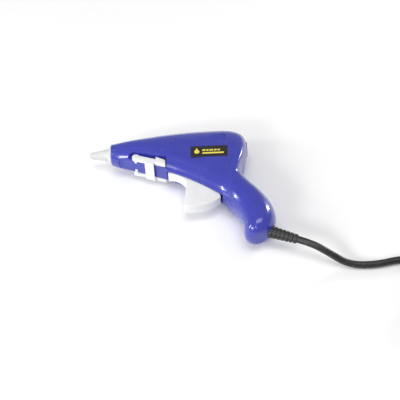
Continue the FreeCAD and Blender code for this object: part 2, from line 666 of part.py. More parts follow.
def build_cord_inside():
    """Cord's end in the grip, its clamp and the two leads to the heater."""
    node("cord_end", exit_rod("Stub", "cord_radius", -14.6, -9.05))
    places = clamp_screw_places()
    bar = exit_box("Bar", 2.0, 6.6, 0.0, 4.4)
    holes = [rod_z("1.1", str(x), str(y), "0 - 1", "5") for x, y in places]
    channel = exit_rod("Channel", "cord_radius + 0.02", -16, -6)
    node("cord_clamp", cut(bar, channel, *holes))
    screws = doc.addObject("Part::Compound", "ClampScrews")
    screws.Links = [fuse(rod_z("1.0", str(x), str(y), "0 - 6", "4.6"),
                         rod_z("1.9", str(x), str(y), "4.5", "5.7")) for x, y in places]
    node("clamp_screws", screws)
    for label, route in LEAD_ROUTES.items():
        tube(label, route, size("lead_radius"))


def build_cord_outside():
    """Free cord, its coil and tie, and the plug."""
    radius = size("cord_radius")
    tube("cord_lead", CORD_ROUTE, radius)
    tube("cord_tail", TAIL_ROUTE, radius)
    inner = "coil_mean - coil_half_width"
    outer = "coil_mean + coil_half_width"
    ring = doc.addObject("Part::Cut", "CordCoil")
    ring.Base = rod_z(outer, "coil_x", "coil_y", "0 - mid", "coil_height - mid")
    ring.Tool = rod_z(inner, "coil_x", "coil_y", "0 - mid - 1", "coil_height - mid + 1")
    node("cord_coil", ring)
    tie = cut(block("coil_x + coil_mean - coil_half_width - 1",
                    "coil_x + coil_mean + coil_half_width + 1", "coil_y - 2.5", "coil_y + 2.5",
                    "0 - mid", "coil_height - mid + 1"),
              rod_z(outer, "coil_x", "coil_y", "0 - mid - 1", "coil_height - mid"))
    inside = common(block("coil_x + coil_mean - coil_half_width - 1",
                          "coil_x + coil_mean", "coil_y - 2.5", "coil_y + 2.5",
                          "0 - mid", "coil_height - mid + 1"),
                    rod_z(inner, "coil_x", "coil_y", "0 - mid", "coil_height - mid + 0.5"))
    node("coil_tie", fuse(tie, inside))
    build_plug()


def build_plug():
    """Flat two-pin plug that lies on the coil."""
    end = Vector(*TAIL_ROUTE[-1])
    before = Vector(*TAIL_ROUTE[-2])
    heading = math.degrees(math.atan2(end.y - before.y, end.x - before.x))
    outline = [(0, -3.4), (9.0, -5.0), (13.0, -12.6), (24.0, -12.9), (24.0, 12.9),
               (13.0, 12.6), (9.0, 5.0), (0, 3.4)]
    body = plate(outline, "0", "2 * plug_half")
    body.setExpression("Placement.Base.z", None)
    lay = Placement(Vector(end.x, end.y, end.z - size("plug_half")), Rotation(Z_AXIS, heading))
    body.Placement = lay
    node("plug_body", body)
    pins = []
    for side in (1, -1):
        pin = doc.addObject("Part::Cylinder", "PlugPin")
        bind(pin, Radius="plug_pin", Height="plug_pin_length")
        offset = Vector(24.0, side * size("plug_pin_gap") / 2, size("plug_half"))
        pin.Placement = lay.multiply(Placement(offset, Rotation(Y_AXIS, 90)))
        pins.append(pin)
    group = doc.addObject("Part::Compound", "PlugPins")
    group.Links = pins
    node("plug_pins", group)


def check_and_write():
    """Stop on any failed object, then write one STEP file per sub-part."""
    doc.recompute()
    for thing in doc.Objects:
        if {"Invalid", "Error"} & set(thing.State):
            raise RuntimeError(f"{thing.Name} ({thing.Label}) failed: {thing.State}")
    os.makedirs("parts", exist_ok=True)
    for label, piece in nodes.items():
        shape = piece.Shape
        if shape.isNull() or not shape.isValid():
            raise RuntimeError(f"{label} has no valid shape")
        print(f"{label:18s} solids {len(shape.Solids)} volume {shape.Volume:9.2f}")
        shape.exportStep(f"parts/{label}.step")


build_housing()
build_label()
build_screws()
build_nozzle()
build_chamber()
build_heater()
build_sleeve()
build_guide()
build_feeder()
build_gripper()
build_spring()
build_trigger()
build_stand()
build_strain_relief()
build_cord_inside()
build_cord_outside()
check_and_write()
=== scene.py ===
"""Looks of a mini hot-melt glue gun that lies on its right side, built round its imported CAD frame."""

import json
import logging
import math
from dataclasses import dataclass, field
from enum import Enum

import bmesh
import bpy
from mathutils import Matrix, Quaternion, Vector

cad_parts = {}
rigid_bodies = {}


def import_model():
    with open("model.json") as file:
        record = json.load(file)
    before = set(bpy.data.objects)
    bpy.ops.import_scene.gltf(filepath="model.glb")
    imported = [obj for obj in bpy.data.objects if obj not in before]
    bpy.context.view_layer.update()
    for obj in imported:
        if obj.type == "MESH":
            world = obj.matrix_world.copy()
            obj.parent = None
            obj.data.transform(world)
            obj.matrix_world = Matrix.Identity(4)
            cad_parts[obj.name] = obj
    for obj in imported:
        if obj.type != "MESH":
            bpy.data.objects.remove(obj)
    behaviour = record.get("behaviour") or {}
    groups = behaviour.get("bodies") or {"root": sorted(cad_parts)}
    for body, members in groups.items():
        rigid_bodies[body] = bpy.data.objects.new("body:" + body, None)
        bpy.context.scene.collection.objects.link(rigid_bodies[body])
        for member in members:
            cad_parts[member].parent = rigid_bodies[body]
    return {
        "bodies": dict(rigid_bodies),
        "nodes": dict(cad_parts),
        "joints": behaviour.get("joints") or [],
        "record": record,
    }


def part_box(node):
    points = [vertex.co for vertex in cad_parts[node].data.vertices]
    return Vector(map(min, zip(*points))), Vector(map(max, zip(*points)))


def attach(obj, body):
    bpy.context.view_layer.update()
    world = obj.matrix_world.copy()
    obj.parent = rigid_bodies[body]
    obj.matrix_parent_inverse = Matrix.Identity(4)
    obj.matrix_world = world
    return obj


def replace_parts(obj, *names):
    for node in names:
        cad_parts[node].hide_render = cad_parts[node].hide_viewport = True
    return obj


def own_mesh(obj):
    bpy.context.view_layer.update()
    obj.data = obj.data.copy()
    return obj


LOG = logging.getLogger("glue_gun")
MM = 0.001
Colour = tuple[float, float, float]
Point = tuple[float, float, float]


class Body(Enum):
    """Rigid bodies that the pieces ride on."""

    HOUSING = "housing"
    TRIGGER = "trigger"
    STAND = "stand"


class Slot(Enum):
    """Material slots of the record."""

    WHITE = "white_plastic"
    LABEL = "label"
    RUBBER = "black_rubber"
    CORD = "cord_pvc"
    PLUG = "plug_pvc"
    SILICONE = "milky_silicone"
    SPRING = "spring_steel"


class Look(Enum):
    """Finishes that a piece can have."""

    BLUE = "blue_gloss_plastic"
    WHITE = "white_moulded_plastic"
    LABEL = "label_black_ink"
    PRINT = "label_yellow_ink"
    STEEL = "zinc_plated_steel"
    NOZZLE = "turned_nozzle_metal"
    MILKY = "milky_silicone"
    ALUMINIUM = "cast_aluminium"
    CERAMIC = "heater_ceramic"
    BRASS = "contact_brass"
    FILM = "amber_film"
    RED = "red_silicone"
    INNER = "black_heatproof_plastic"
    RUBBER = "black_moulded_rubber"
    CORD = "black_cord_sheath"
    BROWN_WIRE = "brown_wire_sheath"
    BLUE_WIRE = "blue_wire_sheath"
    PIN = "nickel_plated_pin"


# --- shader groups ---------------------------------------------------------------------

@dataclass(frozen=True)
class Grain:
    """One noise pattern.

    Attributes:
        scale: Scale of the noise, per metre.
        detail: Octaves of detail.
        distortion: How far the noise is warped.
    """

    scale: float
    detail: float
    distortion: float = 0.0

    def add_to(self, tree: bpy.types.NodeTree) -> bpy.types.NodeSocket:
        """Add the noise to a tree, on object coordinates.

        Args:
            tree: Tree that the nodes go in.

        Returns:
            The noise's value.
        """
        place = tree.nodes.new("ShaderNodeTexCoord")
        texture = tree.nodes.new("ShaderNodeTexNoise")
        texture.inputs["Scale"].default_value = self.scale
        texture.inputs["Detail"].default_value = self.detail
        texture.inputs["Distortion"].default_value = self.distortion
        tree.links.new(place.outputs["Object"], texture.inputs["Vector"])
        return texture.outputs["Fac"]


SMUDGES = Grain(45.0, 3.0, 0.6)
SMUDGE_RANGE = (0.45, 0.75)
HAIR_SCRATCHES = Grain(260.0, 4.0, 2.5)
SCRATCH_RANGE = (0.66, 0.70)
ORANGE_PEEL = Grain(900.0, 2.0)
FLOW_MARKS = Grain(70.0, 2.0, 0.8)
MOTTLE_RANGE = (0.35, 0.7)
SCRATCH_WHITE = 0.25


def new_group(name: str, inputs: tuple[str, ...], outputs: tuple[str, ...]) -> bpy.types.ShaderNodeTree:
    """Start a shader node group whose sockets are all values.

    Args:
        name: Name of the group.
        inputs: Name of each input; all start at 1.
        outputs: Name of each output.

    Returns:
        The group, with nothing between its ends.
    """
    group = bpy.data.node_groups.new(name, "ShaderNodeTree")
    for label in inputs:
        socket = group.interface.new_socket(label, in_out="INPUT", socket_type="NodeSocketFloat")
        socket.default_value = 1.0
    for label in outputs:
        group.interface.new_socket(label, in_out="OUTPUT", socket_type="NodeSocketFloat")
    group.nodes.new("NodeGroupInput")
    group.nodes.new("NodeGroupOutput")
    return group


def stretched(tree: bpy.types.NodeTree, source: bpy.types.NodeSocket,
              span: tuple[float, float]) -> bpy.types.NodeSocket:
    """Stretch a span of values to 0..1.

    Args:
        tree: Tree that the node goes in.
        source: Value to stretch.
        span: Values that become 0 and 1.

    Returns:
        The stretched value.
    """
    node = tree.nodes.new("ShaderNodeMapRange")
    node.inputs["From Min"].default_value, node.inputs["From Max"].default_value = span
    tree.links.new(source, node.inputs["Value"])
    return node.outputs["Result"]


def combined(tree: bpy.types.NodeTree, operation: str, first: bpy.types.NodeSocket,
             second: bpy.types.NodeSocket) -> bpy.types.NodeSocket:
    """Combine two values.

    Args:
        tree: Tree that the node goes in.
        operation: ADD or MULTIPLY.
        first: First value.
        second: Second value.

    Returns:
        The result.
    """
    node = tree.nodes.new("ShaderNodeMath")
    node.operation = operation
    tree.links.new(first, node.inputs[0])
    tree.links.new(second, node.inputs[1])
    return node.outputs["Value"]


def handling_group() -> bpy.types.ShaderNodeTree:
    """Group of the marks that hands leave: soft smudges and fine hair scratches.

    Returns:
        A group whose outputs are a Smudge mask and a Scratch mask.
    """
    group = new_group("Handling", ("Smudges", "Scratches"), ("Smudge", "Scratch"))
    start, end = group.nodes["Group Input"], group.nodes["Group Output"]
    for grain, span, amount, label in ((SMUDGES, SMUDGE_RANGE, "Smudges", "Smudge"),
                                       (HAIR_SCRATCHES, SCRATCH_RANGE, "Scratches", "Scratch")):
        mask = stretched(group, grain.add_to(group), span)
        mask = combined(group, "MULTIPLY", mask, start.outputs[amount])
        group.links.new(mask, end.inputs[label])
    return group


def grain_group() -> bpy.types.ShaderNodeTree:
    """Group of a moulded surface's fine orange peel and coarser flow marks.

    Returns:
        A group whose outputs are a Height and a Mottle mask.
    """
    group = new_group("MouldGrain", ("Peel", "Flow"), ("Height", "Mottle"))
    start, end = group.nodes["Group Input"], group.nodes["Group Output"]
    flow = FLOW_MARKS.add_to(group)
    fine = combined(group, "MULTIPLY", ORANGE_PEEL.add_to(group), start.outputs["Peel"])
    coarse = combined(group, "MULTIPLY", flow, start.outputs["Flow"])
    group.links.new(combined(group, "ADD", fine, coarse), end.inputs["Height"])
    group.links.new(flow, end.inputs["Mottle"])
    return group


@dataclass
class Effects:
    """The shader groups that every finish shares."""

    handling: bpy.types.ShaderNodeTree = field(default_factory=handling_group)
    grain: bpy.types.ShaderNodeTree = field(default_factory=grain_group)


# --- finishes --------------------------------------------------------------------------

@dataclass(frozen=True)
class Finish:
    """One surface finish, with the wear and grain that it shows.

    Attributes:
        base: Colour of most of the surface.
        shade: Colour that mottling moves towards.
        roughness: Roughness of the clean surface.
        worn: Roughness where it is smudged.
        metallic: 1 for bare metal.
        coat: Weight of the clear, glossy skin.
        coat_roughness: Roughness of that skin.
        peel: Height share of the fine grain.
        flow: Height share of the coarse flow marks.
        bump: Depth of the grain, in metres.
        scratches: Strength of hair scratches.
        subsurface: Weight of light that goes in and comes back.
        subsurface_radius: How far that light travels, in metres.
        transmission: Weight of light that goes through.
        ior: Index of refraction.
    """

    base: Colour
    shade: Colour
    roughness: float = 0.3
    worn: float = 0.45
    metallic: float = 0.0
    coat: float = 0.0
    coat_roughness: float = 0.08
    peel: float = 0.3
    flow: float = 0.5
    bump: float = 0.00004
    scratches: float = 0.4
    subsurface: float = 0.0
    subsurface_radius: float = 0.002
    transmission: float = 0.0
    ior: float = 1.5

    def build(self, name: str, effects: Effects) -> bpy.types.Material:
        """Make the material.

        Args:
            name: Name of the material.
            effects: The shared shader groups.

        Returns:
            The finished material.
        """
        material = bpy.data.materials.new(name)
        material.use_nodes = True
        material.diffuse_color = (*self.base, 1.0)
        tree = material.node_tree
        shader = tree.nodes["Principled BSDF"]
        self._set_constants(shader)
        handling = placed_group(tree, effects.handling, {"Scratches": self.scratches})
        grain = placed_group(tree, effects.grain, {"Peel": self.peel, "Flow": self.flow})
        self._link_colour(tree, shader, grain, handling)
        self._link_roughness(tree, shader, handling)
        self._link_bump(tree, shader, grain)
        return material

    def _set_constants(self, shader: bpy.types.Node) -> None:
        """Set what is the same all over the surface.

        Args:
            shader: The material's shader.
        """
        values = {
            "Metallic": self.metallic, "IOR": self.ior, "Coat Weight": self.coat,
            "Coat Roughness": self.coat_roughness, "Subsurface Weight": self.subsurface,
            "Subsurface Scale": self.subsurface_radius, "Transmission Weight": self.transmission,
        }
        for label, value in values.items():
            shader.inputs[label].default_value = value
        shader.inputs["Subsurface Radius"].default_value = (1.0, 1.0, 1.0)

    def _link_colour(self, tree: bpy.types.NodeTree, shader: bpy.types.Node,
                     grain: bpy.types.Node, handling: bpy.types.Node) -> None:
        """Mottle the base colour, and lighten it along scratches.

        Args:
            tree: The material's tree.
            shader: The material's shader.
            grain: Placed group of the moulded grain.
            handling: Placed group of the handling marks.
        """
        mottle = stretched(tree, grain.outputs["Mottle"], MOTTLE_RANGE)
        colour = blended(tree, self.base, self.shade, mottle)
        light = tuple(c * (1.0 - SCRATCH_WHITE) + SCRATCH_WHITE for c in self.base)
        colour = blended(tree, colour, light, handling.outputs["Scratch"])
        tree.links.new(colour, shader.inputs["Base Color"])

    def _link_roughness(self, tree: bpy.types.NodeTree, shader: bpy.types.Node,
                        handling: bpy.types.Node) -> None:
        """Make smudged places a little duller.

        Args:
            tree: The material's tree.
            shader: The material's shader.
            handling: Placed group of the handling marks.
        """
        dull = tree.nodes.new("ShaderNodeMapRange")
        dull.inputs["To Min"].default_value = self.roughness
        dull.inputs["To Max"].default_value = self.worn
        tree.links.new(handling.outputs["Smudge"], dull.inputs["Value"])
        tree.links.new(dull.outputs["Result"], shader.inputs["Roughness"])

    def _link_bump(self, tree: bpy.types.NodeTree, shader: bpy.types.Node, grain: bpy.types.Node) -> None:
        """Raise the grain.

        Args:
            tree: The material's tree.
            shader: The material's shader.
            grain: Placed group of the moulded grain.
        """
        bump = tree.nodes.new("ShaderNodeBump")
        bump.inputs["Strength"].default_value = 1.0
        bump.inputs["Distance"].default_value = self.bump
        tree.links.new(grain.outputs["Height"], bump.inputs["Height"])
        tree.links.new(bump.outputs["Normal"], shader.inputs["Normal"])


def placed_group(tree: bpy.types.NodeTree, group: bpy.types.ShaderNodeTree,
                 values: dict[str, float]) -> bpy.types.Node:
    """Place a shader group with its own values.

    Args:
        tree: Tree that the group goes in.
        group: The group.
        values: Name and value of the inputs that differ.

    Returns:
        The placed group.
    """
    node = tree.nodes.new("ShaderNodeGroup")
    node.node_tree = group
    for label, value in values.items():
        node.inputs[label].default_value = value
    return node


def blended(tree: bpy.types.NodeTree, first: Colour | bpy.types.NodeSocket, second: Colour,
            share: bpy.types.NodeSocket) -> bpy.types.NodeSocket:
    """Blend two colours.

    Args:
        tree: Tree that the node goes in.
        first: Colour, or a socket that gives one, where the share is 0.
        second: Colour where the share is 1.
        share: Share of the second colour.

    Returns:
        The blended colour.
    """
    mix = tree.nodes.new("ShaderNodeMix")
    mix.data_type = "RGBA"
    sockets = {socket.identifier: socket for socket in mix.inputs}
    if isinstance(first, bpy.types.NodeSocket):
        tree.links.new(first, sockets["A_Color"])
    else:
        sockets["A_Color"].default_value = (*first, 1.0)
    sockets["B_Color"].default_value = (*second, 1.0)
    tree.links.new(share, sockets["Factor_Float"])
    return next(socket for socket in mix.outputs if socket.identifier == "Result_Color")


FINISHES = {
    Look.BLUE: Finish((0.034, 0.041, 0.370), (0.030, 0.036, 0.335), 0.22, 0.32, coat=0.6,
                      coat_roughness=0.05, peel=0.15, flow=0.9, bump=0.00005, scratches=0.15,
                      subsurface=0.05, subsurface_radius=0.002),
    Look.WHITE: Finish((0.80, 0.80, 0.80), (0.74, 0.74, 0.75), 0.32, 0.42, peel=0.4, scratches=0.1,
                       subsurface=0.2, subsurface_radius=0.002),
    Look.LABEL: Finish((0.010, 0.010, 0.014), (0.018, 0.018, 0.022), 0.30, 0.42, peel=0.2,
                       scratches=0.05),
    Look.PRINT: Finish((0.78, 0.66, 0.10), (0.70, 0.58, 0.08), 0.35, 0.45, scratches=0.05),
    Look.STEEL: Finish((0.60, 0.60, 0.62), (0.52, 0.52, 0.55), 0.28, 0.42, metallic=1.0, peel=0.8),
    Look.NOZZLE: Finish((0.62, 0.61, 0.60), (0.52, 0.51, 0.50), 0.30, 0.45, metallic=1.0, peel=0.5),
    Look.MILKY: Finish((0.72, 0.73, 0.72), (0.62, 0.63, 0.64), 0.36, 0.5, subsurface=0.9,
                       subsurface_radius=0.004, transmission=0.12, ior=1.41, scratches=0.1),
    Look.ALUMINIUM: Finish((0.66, 0.66, 0.68), (0.56, 0.56, 0.58), 0.42, 0.55, metallic=1.0,
                           peel=1.0, bump=0.00012),
    Look.CERAMIC: Finish((0.16, 0.09, 0.06), (0.12, 0.07, 0.05), 0.7, 0.8, peel=1.0),
    Look.BRASS: Finish((0.70, 0.50, 0.22), (0.60, 0.42, 0.18), 0.3, 0.45, metallic=1.0),
    Look.FILM: Finish((0.55, 0.25, 0.03), (0.48, 0.20, 0.02), 0.25, 0.35, transmission=0.3),
    Look.RED: Finish((0.36, 0.03, 0.02), (0.30, 0.02, 0.015), 0.5, 0.6, subsurface=0.3),
    Look.INNER: Finish((0.022, 0.022, 0.024), (0.03, 0.03, 0.032), 0.4, 0.5, peel=0.8),
    Look.RUBBER: Finish((0.012, 0.012, 0.013), (0.022, 0.022, 0.024), 0.42, 0.55, peel=1.0,
                        flow=0.6, bump=0.00008),
    Look.CORD: Finish((0.010, 0.010, 0.011), (0.016, 0.016, 0.017), 0.34, 0.48, peel=0.7,
                      bump=0.00006),
    Look.BROWN_WIRE: Finish((0.10, 0.035, 0.012), (0.08, 0.03, 0.01), 0.4, 0.5),
    Look.BLUE_WIRE: Finish((0.02, 0.08, 0.35), (0.02, 0.06, 0.30), 0.4, 0.5),
    Look.PIN: Finish((0.68, 0.66, 0.60), (0.60, 0.58, 0.53), 0.2, 0.35, metallic=1.0),
}

NODE_LOOKS = {
    "left_shell": Look.BLUE, "right_shell": Look.BLUE, "label_plate": Look.LABEL,
    "shell_screws": Look.STEEL, "nozzle": Look.NOZZLE, "nozzle_cover": Look.MILKY,
    "melt_chamber": Look.ALUMINIUM, "ptc_heater": Look.CERAMIC, "heater_electrodes": Look.BRASS,
    "heater_insulation": Look.FILM, "heater_clip": Look.STEEL, "inlet_sleeve": Look.RED,
    "stick_guide": Look.INNER, "feeder_carriage": Look.WHITE, "gripper_ring": Look.INNER,
    "return_spring": Look.STEEL, "trigger": Look.WHITE, "trigger_pin": Look.STEEL,
    "stand": Look.WHITE, "strain_relief": Look.RUBBER, "cord_end": Look.CORD,
    "cord_clamp": Look.INNER, "clamp_screws": Look.STEEL, "live_lead": Look.BROWN_WIRE,
    "neutral_lead": Look.BLUE_WIRE, "cord_lead": Look.CORD, "cord_tail": Look.CORD,
    "cord_coil": Look.CORD, "coil_tie": Look.RUBBER, "plug_body": Look.RUBBER,
    "plug_pins": Look.PIN,
}


class Workshop:
    """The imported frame, the finishes, and what every sub-assembly needs to make its pieces."""

    def __init__(self) -> None:
        """Load the frame and build every finish."""
        self.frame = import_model()
        effects = Effects()
        self.finishes = {look: finish.build(look.value, effects) for look, finish in FINISHES.items()}

    def dress(self) -> None:
        """Give each CAD node its finish."""
        for name, look in NODE_LOOKS.items():
            for place in self.frame["nodes"][name].material_slots:
                place.material = self.finishes[look]

    def add(self, name: str, mesh: bpy.types.Mesh, look: Look, body: Body, slot: Slot) -> bpy.types.Object:
        """Put a new piece in the scene, on its body.

        Args:
            name: Name of the piece.
            mesh: Its mesh, in metres in the frame.
            look: Its finish.
            body: Body that it rides on.
            slot: Slot of the record that its finish belongs to; not used.

        Returns:
            The new object.
        """
        piece = bpy.data.objects.new(name, mesh)
        bpy.context.scene.collection.objects.link(piece)
        mesh.materials.clear()
        mesh.materials.append(self.finishes[look])
        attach(piece, body.value)
        LOG.info("%s: %d faces on %s", name, len(mesh.polygons), body.value)
        return piece

    def softened(self, node: str, name: str, width: float, look: Look, body: Body, slot: Slot,
                 segments: int = 3) -> bpy.types.Object:
        """Stand a copy with rounded edges in for a CAD node.

        Args:
            node: CAD node that is copied and replaced.
            name: Name of the new piece.
            width: Width of the rounding, in metres.
            look: Its finish.
            body: Body that it rides on.
            slot: Slot of the record that its finish belongs to.
            segments: Steps in each rounding.

        Returns:
            The new object.
        """
        mesh = rounded_copy(self.frame["nodes"][node].data, width, segments)
        piece = self.add(name, mesh, look, body, slot)
        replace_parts(piece, node)
        return piece


WELD = 2e-6
FLAT_DEGREES = 1.0
ROUNDED_DEGREES = 30.0
COPY_CREASE_DEGREES = 35.0
LATHE_CREASE_DEGREES = 40.0


def smooth_mesh(work: bmesh.types.BMesh, name: str, crease_degrees: float) -> bpy.types.Mesh:
    """Turn a finished bmesh into a mesh that is shaded smooth up to a crease angle.

    Args:
        work: The bmesh, which is freed.
        name: Name of the mesh.
        crease_degrees: Turn between faces from which their edge stays sharp.

    Returns:
        The mesh.
    """
    bmesh.ops.recalc_face_normals(work, faces=work.faces)
    mesh = bpy.data.meshes.new(name)
    work.to_mesh(mesh)
    work.free()
    for face in mesh.polygons:
        face.use_smooth = True
    mesh.set_sharp_from_angle(angle=math.radians(crease_degrees))
    return mesh


def rounded_copy(source: bpy.types.Mesh, width: float, segments: int) -> bpy.types.Mesh:
    """Copy a mesh, join its split corners and round its sharp edges.

    Args:
        source: Mesh to copy.
        width: Width of the rounding, in metres.
        segments: Steps in each rounding.

    Returns:
        The rounded copy, shaded smooth.
    """
    work = bmesh.new()
    work.from_mesh(source)
    bmesh.ops.remove_doubles(work, verts=work.verts, dist=WELD)
    bmesh.ops.dissolve_limit(work, angle_limit=math.radians(FLAT_DEGREES), verts=work.verts,
                             edges=work.edges)
    sharp = [edge for edge in work.edges if len(edge.link_faces) == 2
             and edge.calc_face_angle(0.0) > math.radians(ROUNDED_DEGREES)]
    bmesh.ops.bevel(work, geom=sharp, offset=width, segments=segments, profile=0.5,
                    affect="EDGES", clamp_overlap=True)
    return smooth_mesh(work, source.name + "_soft", COPY_CREASE_DEGREES)


def lathe(name: str, profile: list[tuple[float, float]], start: Vector, axis: Vector,
          steps: int = 48) -> bpy.types.Mesh:
    """Turn a profile about an axis.

    Args:
        name: Name of the mesh.
        profile: Points as (distance along the axis, radius), in metres.
        start: Point that distances are counted from.
        axis: Direction of the axis.
        steps: Points round each ring.

    Returns:
        The turned mesh, closed by a flat face at each end.
    """
    turn = Vector((0, 0, 1)).rotation_difference(axis.normalized())
    angles = [math.tau * i / steps for i in range(steps)]
    work = bmesh.new()
    rings = []
    for along, radius in profile:
        points = [Vector((radius * math.cos(angle), radius * math.sin(angle), along)) for angle in angles]
        rings.append([work.verts.new(start + turn @ point) for point in points])
    for lower, upper in zip(rings, rings[1:]):
        for i in range(steps):
            j = (i + 1) % steps
            work.faces.new((lower[i], lower[j], upper[j], upper[i]))
    work.faces.new(list(reversed(rings[0])))
    work.faces.new(rings[-1])
    return smooth_mesh(work, name, LATHE_CREASE_DEGREES)


def slab(name: str, outline: list[tuple[float, float]], low: float, high: float) -> bpy.types.Mesh:
    """Raise a flat outline into a thin plate.

    Args:
        name: Name of the mesh.
        outline: Points in X and Y, in metres, in order.
        low: Height of its underside.
        high: Height of its top.

    Returns:
        The plate.
    """
    work = bmesh.new()
    below = [work.verts.new((x, y, low)) for x, y in outline]
    above = [work.verts.new((x, y, high)) for x, y in outline]
    work.faces.new(above)
    work.faces.new(list(reversed(below)))
    for i in range(len(outline)):
        j = (i + 1) % len(outline)
        work.faces.new((below[i], below[j], above[j], above[i]))
    bmesh.ops.recalc_face_normals(work, faces=work.faces)
    mesh = bpy.data.meshes.new(name)
    work.to_mesh(mesh)
    work.free()
    return mesh


# --- sub-assemblies --------------------------------------------------------------------

@dataclass
class Label:
    """Dark name plate with a plain glue drop and bars printed on it.

    Attributes:
        plate_edge: Width of the rounding of the plate's edges.
        lift: Height of the print above the plate.
        sunk: Depth of the print in the plate.
        drop_inset: Distance from the plate's left edge to the drop's middle.
        drop_fall: Distance of the drop's middle below the plate's.
        drop_radius: Radius of the round part of the drop.
        drop_reach: Height of the drop's point, in radii.
        drop_opening: Part of the round that its point takes the place of, in degrees.
        drop_steps: Points round the drop.
        bars_inset: Distance from the plate's left edge to the bars.
        bars_margin: Distance from the long bar's end to the plate's right edge.
        bar_height: Height of one bar.
        bar_lean: How far the top of a bar is ahead of its foot.
        bar_gap: Gap between the short bars.
        bar_pitches: Each short bar's length with its gap.
        short_rise: Height of the short bars above the plate's middle.
        long_fall: Distance of the long bar below the plate's middle.
    """

    plate_edge: float = 0.12 * MM
    lift: float = 0.12 * MM
    sunk: float = 0.05 * MM
    drop_inset: float = 4.4 * MM
    drop_fall: float = 0.5 * MM
    drop_radius: float = 1.9 * MM
    drop_reach: float = 2.1
    drop_opening: float = 60.0
    drop_steps: int = 28
    bars_inset: float = 8.2 * MM
    bars_margin: float = 3.0 * MM
    bar_height: float = 1.5 * MM
    bar_lean: float = 0.4 * MM
    bar_gap: float = 0.7 * MM
    bar_pitches: tuple[float, ...] = (3.0 * MM, 2.2 * MM, 3.4 * MM, 2.6 * MM, 2.4 * MM)
    short_rise: float = 1.0 * MM
    long_fall: float = 2.0 * MM

    def build(self, shop: Workshop) -> None:
        """Round the plate's edges and print on it.

        Args:
            shop: Workshop that holds the frame.
        """
        shop.softened("label_plate", "label_face", self.plate_edge, Look.LABEL, Body.HOUSING, Slot.LABEL)
        low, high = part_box("label_plate")
        middle = (low.y + high.y) / 2
        marks = {"label_drop": self._drop(low.x + self.drop_inset, middle - self.drop_fall)}
        for i, bar in enumerate(self._bars(low.x + self.bars_inset, high.x - self.bars_margin, middle)):
            marks[f"label_bar_{i}"] = bar
        for name, outline in marks.items():
            mesh = slab(name, outline, high.z - self.sunk, high.z + self.lift)
            shop.add(name, mesh, Look.PRINT, Body.HOUSING, Slot.LABEL)

    def _drop(self, x: float, y: float) -> list[tuple[float, float]]:
        """Outline of a drop whose point is up.

        Args:
            x: Middle of its round part, along the barrel.
            y: Middle of its round part, across the barrel.

        Returns:
            The outline's points.
        """
        first = 90.0 - self.drop_opening / 2
        sweep = 360.0 - self.drop_opening
        points = []
        for i in range(self.drop_steps):
            angle = math.radians(first - sweep * i / (self.drop_steps - 1))
            points.append((x + self.drop_radius * math.cos(angle), y + self.drop_radius * math.sin(angle)))
        points.append((x, y + self.drop_radius * self.drop_reach))
        return points

    def _bars(self, start: float, end: float, middle: float) -> list[list[tuple[float, float]]]:
        """Outlines of a row of short bars and a long bar under it.

        Args:
            start: Left end of the bars.
            end: Right end of the long bar.
            middle: Middle of the plate, across the barrel.

        Returns:
            Each bar's four corners.
        """
        spans = []
        x = start
        for pitch in self.bar_pitches:
            spans.append((x, x + pitch - self.bar_gap, middle + self.short_rise))
            x += pitch
        spans.append((start, end, middle - self.long_fall))
        half, lean = self.bar_height / 2, self.bar_lean
        return [[(left, y - half), (right, y - half), (right + lean, y + half), (left + lean, y + half)]
                for left, right, y in spans]


@dataclass
class NozzleCover:
    """Milky silicone cover: a slim cone with a flared ring against the housing and a soft lip.

    Attributes:
        root: Middle of its ring, on the housing's front face.
        profile: Distance from the root and radius, in millimetres.
        steps: Points round the cover.
    """

    root: Point = (-0.0601, 0.0, 0.014)
    profile: tuple[tuple[float, float], ...] = (
        (0.0, 6.1), (0.2, 6.5), (0.9, 6.6), (1.2, 6.3), (1.6, 5.4), (2.3, 4.85), (3.4, 4.6),
        (8.0, 3.75), (12.4, 3.0), (13.4, 2.8), (14.2, 2.95), (14.8, 2.8), (15.2, 2.4))
    steps: int = 64

    def build(self, shop: Workshop) -> None:
        """Turn the cover and let it stand for its CAD solid.

        Args:
            shop: Workshop that holds the frame.
        """
        profile = [(along * MM, radius * MM) for along, radius in self.profile]
        mesh = lathe("cover", profile, Vector(self.root), Vector((-1, 0, 0)), self.steps)
        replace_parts(shop.add("cover", mesh, Look.MILKY, Body.HOUSING, Slot.SILICONE), "nozzle_cover")


@dataclass
class ReturnSpring:
    """Compression spring round the stick, which shortens as the feeder comes forward.

    Attributes:
        travel: How far the feeder comes forward; not used.
        spare: Room left between the spring and the feeder; not used.
    """

    travel: float = 9.2 * MM
    spare: float = 0.1 * MM

    def build(self, shop: Workshop) -> None:
        """Copy the spring and let the copy stand for its CAD solid.

        Args:
            shop: Workshop that holds the frame.
        """
        mesh = shop.frame["nodes"]["return_spring"].data.copy()
        spring = shop.add("coil_spring", mesh, Look.STEEL, Body.HOUSING, Slot.SPRING)
        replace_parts(spring, "return_spring")
        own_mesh(spring)


@dataclass
class SoftPieces:
    """Moulded pieces whose edges are rounded: the trigger and the stand.

    Attributes:
        trigger_edge: Width of the trigger's rounding.
        trigger_segments: Steps in the trigger's rounding.
        stand_edge: Width of the stand's rounding.
    """

    trigger_edge: float = 0.9 * MM
    trigger_segments: int = 4
    stand_edge: float = 0.45 * MM

    def build(self, shop: Workshop) -> None:
        """Round both mouldings."""
        shop.softened("trigger", "trigger_lever", self.trigger_edge, Look.WHITE, Body.TRIGGER,
                      Slot.WHITE, self.trigger_segments)
        shop.softened("stand", "stand_yoke", self.stand_edge, Look.WHITE, Body.STAND, Slot.WHITE)


